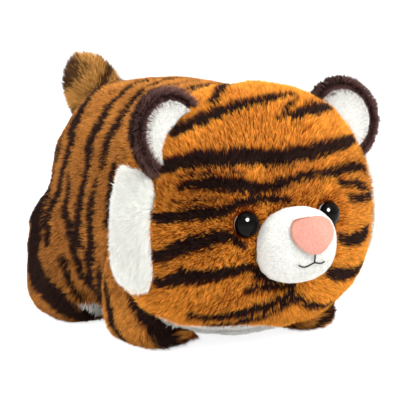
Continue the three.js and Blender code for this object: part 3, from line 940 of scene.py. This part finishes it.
mouth = mouth_paths()
mouth_clear = [(path, np.full(len(path), MOUTH["clear"])) for path in mouth]
nose_shell = soft_shell(["nose"], voxel=0.6, passes=10)
nose_tree = tree_of(*nose_shell[:2])
nose_low, nose_high = nose_shell[0].min(axis=0), nose_shell[0].max(axis=0)
# The white short pile's greyer foot and whiter tip, and the nose's deeper pink foot, are painted
# shade between the blades and a painted highlight.
white_short = plush("short_plush", (242, 242, 235), (246, 246, 241), (248, 248, 243),
                    (252, 252, 248))
nose_pink = plush("nose_plush", (248, 176, 158), (252, 186, 166), (254, 196, 176),
                  (255, 206, 188), sheen=0.2)


def off_muzzle(places):
    """The muzzle has no pile inside the head, along the mouth and under the nose."""
    behind = places[:, 1] > -93
    along_mouth = stripe_depth(places, mouth_clear) > -0.2
    under_nose = nearest(nose_tree, places)[1] < 1.0
    return behind | along_mouth | under_nose


def nose_edge_shade(places):
    """Painted shade: the nose is painted a little darker where it turns in at the edge."""
    place = (places - (nose_low + nose_high) / 2) / (nose_high - nose_low) * 2
    return 0.12 * ramp(np.hypot(place[:, 0], place[:, 2]), 0.55, 1.0)


short_pile("muzzle_cover", white_short, muzzle_shell, density=8.0, length=1.6,
           lean=66, width=0.36, way=away_from(MUZZLE_PARTING), skip=off_muzzle)
short_pile("nose", nose_pink, nose_shell, density=14, length=0.7, lean=55,
           width=0.26, way=away_from(NOSE_PARTING), depth=0.1, pull=0.0,
           darker=nose_edge_shade)


def smooth_piece(name, node, mat, points, faces):
    """A piece with a smooth surface of its own."""
    mesh = bpy.data.meshes.new(name)
    mesh.from_pydata((np.array(points) * MM).tolist(), [], faces)
    mesh.materials.append(mat)
    mesh.shade_smooth()
    declare(new_object(name, mesh), node)


def ring(middle, radius, a, b, sides):
    """Places round a circle in the plane of a and b."""
    turns = [2 * math.pi * k / sides for k in range(sides)]
    return [middle + radius * (math.cos(turn) * a + math.sin(turn) * b) for turn in turns]


def tube(path, radius, sides=10):
    """A round thread along a line of places, closed at both ends."""
    points, faces = [], []
    for i, (p, ahead) in enumerate(zip(path, unit(np.gradient(path, axis=0)))):
        a = unit(np.cross(ahead, [0, 1.0, 0.01]))
        points += ring(p, radius, a, np.cross(ahead, a), sides)
        if i:
            low, high = (i - 1) * sides, i * sides
            for k in range(sides):
                n = (k + 1) % sides
                faces.append([low + k, low + n, high + n, high + k])
    faces.append(list(range(sides))[::-1])
    faces.append([(len(path) - 1) * sides + k for k in range(sides)])
    return points, faces


def stitched_mouth():
    """The mouth's black thread, lifted off the muzzle."""
    mat, tree, shader = material("mouth_thread", 0.6, specular=0.02)
    feed(tree, shader.inputs["Base Color"], linear(28, 22, 22))
    bumpy(tree, shader, 2600, 0.5, 0.0002)
    points, faces = [], []
    for path in mouth:
        out = np.array([muzzle_tree.find_nearest(p)[1] for p in path.tolist()])
        p, f = tube(path + out * MOUTH["stand_off"], MOUTH["thread"])
        faces += [[i + len(points) for i in face] for face in f]
        points += p
    smooth_piece("mouth_thread", "mouth_stitching", mat, points, faces)


stitched_mouth()


# ---- ears

# How much larger than its solid the white front is, and how much further forward.
FRONT_GROWN, FRONT_FORWARD = 0.045, 0.3
# How much the back's pile turns inwards over the rim, and how near to the front.
RIM_TURN, RIM_REACH = 1.4, 6.0


def ear(side):
    """An ear's brown back and its white front."""
    back = soft_shell([side + "_ear_back"], voxel=1.1, passes=5)
    points, faces, normals = soft_shell([side + "_ear_front"], voxel=0.9, passes=5)
    middle = points.mean(axis=0)
    facing = np.linalg.svd(points - middle, full_matrices=False)[2][2]
    facing = facing * (-1 if facing[1] > 0 else 1)

    def from_middle(p):
        return (p - middle) - ((p - middle) @ facing)[:, None] * facing

    points = points + from_middle(points) * FRONT_GROWN + facing * FRONT_FORWARD
    front_tree = tree_of(points, faces)

    def round_rim(p):
        """Outwards over the rim, and inwards where the rim meets the white front."""
        near = ramp(nearest(front_tree, p)[1], RIM_REACH, 2.5)[:, None]
        return from_middle(p) * (1 - RIM_TURN * near) + facing * 4.0

    def upwards(p):
        return from_middle(p) + np.array([0, 0, 6.0])

    def under_front(p):
        return (nearest(front_tree, p)[1] < 1.3) | (outside(soft_tree, p) < -1.5)

    def behind_back(p):
        return ((p - middle) @ facing) < -2.2

    short_pile(side + "_ear_back", ear_brown, back, density=8.0, length=5.0, lean=30,
               width=0.36, way=round_rim, skip=under_front, depth=1.2, pull=0.3, relief=0.3,
               uneven=0.24)
    short_pile(side + "_ear_front", white_short, (points, faces, normals),
               density=9.0, length=1.7, lean=64, width=0.34, way=upwards, skip=behind_back,
               depth=0.6)


# The ear's darker foot is partly its own colour and partly painted shade between the blades.
ear_brown = plush("ear_plush", (44, 26, 26), (84, 54, 52), (96, 66, 62), (130, 98, 92))
for side in SIDES:
    ear(side)


# ---- eyes

EYE_RADIUS, EYE_HEIGHT, STEM_RADIUS = 7.5, 6.0, 2.2
EYE_SIDES, DOME_STEPS = 72, 22


def eye_dome(side):
    """A smooth turned dome with its stem, where the CAD eye is."""
    start, away, top = eye_axis(side)
    across = unit(np.cross(away, [0, 0, 1.0]))
    up = np.cross(across, away)
    rim = top - EYE_HEIGHT
    profile = []
    for a in np.linspace(0, math.pi / 2, DOME_STEPS)[1:]:
        profile.append((EYE_RADIUS * math.sin(a), top - EYE_HEIGHT * (1 - math.cos(a))))
    profile += [(EYE_RADIUS - 0.3, rim - 0.4), (STEM_RADIUS + 0.4, rim - 0.5),
                (STEM_RADIUS, rim - 1.0), (STEM_RADIUS, 0.4), (STEM_RADIUS - 0.6, 0.0)]
    points, faces = [start + away * top], []
    for r, h in profile:
        points += ring(start + away * h, r, across, up, EYE_SIDES)
    points.append(start)
    last = 1 + (len(profile) - 1) * EYE_SIDES
    for k in range(EYE_SIDES):
        n = (k + 1) % EYE_SIDES
        faces.append([0, 1 + k, 1 + n])
        for low in range(1, last, EYE_SIDES):
            high = low + EYE_SIDES
            faces.append([low + k, high + k, high + n, low + n])
        faces.append([last + k, len(points) - 1, last + n])
    smooth_piece(side + "_eye_dome", side + "_eye", eye_black, points, faces)


eye_black = mottled("eye_plastic", 0.09, (6, 4, 4), (14, 9, 8), 60, 0.02, 0.0002, specular=0.06)
for side in SIDES:
    eye_dome(side)


# ---- what stays hidden inside

INNER = {
    "stuffing": mottled("fibre_fill", 0.95, (214, 214, 210), (246, 246, 244), 420, 0.8, 0.001,
                        sheen=0.3),
    "washer": mottled("washer_plastic", 0.45, (226, 226, 222), (238, 238, 235), 300, 0.15, 0.0002),
}
for name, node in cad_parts.items():
    mat = INNER.get(name.split("_")[-1])
    if mat is None:
        continue
    if not node.data.materials:
        node.data.materials.append(mat)
    for slot in node.material_slots:
        slot.material = mat


# ---- stage, light, camera

WHITE = (1.0, 1.0, 1.0)
FLOOR_HALF, FLOOR_GLOW = 6.0, 0.88
SKY_LIGHT = 0.85


def seen_white(tree, kind, strength, lit):
    """White to the camera and to reflections, and lit to all other light."""
    path = add(tree, "LightPath").outputs
    seen = math_node(tree, "MAXIMUM", path["Is Camera Ray"], path["Is Glossy Ray"])
    seen = math_node(tree, "MAXIMUM", seen, path["Is Transmission Ray"])
    white = add(tree, kind, Color=WHITE, Strength=strength)
    both = add(tree, "MixShader")
    for socket, value in zip(both.inputs, (seen, lit.outputs[0], white.outputs[0])):
        feed(tree, socket, value)
    return both.outputs[0]


def floor():
    """A wide floor that takes shadows and looks white."""
    mesh = bpy.data.meshes.new("floor")
    corners = [(-1, -1), (1, -1), (1, 1), (-1, 1)]
    mesh.from_pydata([(FLOOR_HALF * x, FLOOR_HALF * y, 0) for x, y in corners], [], [[0, 1, 2, 3]])
    mat = bpy.data.materials.new("floor_white")
    mat.use_nodes = True
    tree = mat.node_tree
    tree.nodes.clear()
    diffuse = add(tree, "BsdfDiffuse", Color=linear(240, 240, 240))
    dark = add(tree, "Emission", Strength=0.0)
    both = add(tree, "AddShader")
    feed(tree, both.inputs[0], diffuse.outputs[0])
    feed(tree, both.inputs[1], seen_white(tree, "Emission", FLOOR_GLOW, dark))
    add(tree, "OutputMaterial", Surface=both.outputs[0])
    mesh.materials.append(mat)
    new_object("floor", mesh)


def sky():
    """Soft light from all round, which is white to the camera."""
    world = bpy.data.worlds.new("studio")
    bpy.context.scene.world = world
    world.use_nodes = True
    tree = world.node_tree
    soft = tree.nodes["Background"]
    feed(tree, soft.inputs["Color"], WHITE)
    feed(tree, soft.inputs["Strength"], SKY_LIGHT)
    feed(tree, tree.nodes["World Output"].inputs["Surface"],
         seen_white(tree, "Background", 1.0, soft))


floor()
sky()

# The camera as fitted to the photograph: its axes, its place in mm, and in pixels its focal
# length and how far right of and above the forward axis it is aimed.
FORWARD = np.array([0.5577, 0.7965, -0.2334])
RIGHT = np.array([0.8192, -0.5736, 0.0])
UP = np.cross(RIGHT, FORWARD)
CAMERA = np.array([-557.7, -791.2, 233.4])
FOCAL, PHOTO_WIDTH = 1613.0, 400
AIM_RIGHT, AIM_UP = 13, 121
SENSOR = 36
look = unit(FORWARD * FOCAL + RIGHT * AIM_RIGHT + UP * AIM_UP)
camera_data = bpy.data.cameras.new("camera")
camera_data.sensor_width = SENSOR
camera_data.lens = SENSOR * FOCAL / PHOTO_WIDTH
camera_data.clip_start = 0.01
camera_data.clip_end = 20
camera = new_object("camera", camera_data)
camera.location = Vector(CAMERA * MM)
camera.rotation_euler = Vector(look).to_track_quat("-Z", "Y").to_euler()
bpy.context.scene.camera = camera

# What the lamps point at, in metres.
LIT = Vector((0, -0.02, 0.07))


def lamp(name, right, up, back, distance, size, power):
    """A round soft box, with its direction from the tiger as the camera sees it."""
    data = bpy.data.lights.new(name, "AREA")
    data.shape = "DISK"
    data.size = size
    data.energy = power
    ob = new_object(name, data)
    away = unit(RIGHT * right + UP * up - FORWARD * back)
    ob.location = LIT + Vector(away * distance)
    ob.rotation_euler = (-Vector(away)).to_track_quat("-Z", "Y").to_euler()
    return ob


lamp("key", 0.42, 0.62, 0.72, distance=1.5, size=0.7, power=18)
lamp("top", -0.1, 1.0, 0.1, distance=1.6, size=1.2, power=14)
lamp("fill", -0.9, 0.35, 0.45, distance=1.6, size=1.2, power=4)
# A small bright panel that only glossy surfaces show, as the spark in the eyes.
spark = lamp("spark", 0.38, 0.40, 0.84, distance=1.0, size=0.40, power=180)
spark.visible_diffuse = False

bpy.context.scene.view_settings.view_transform = "Standard"
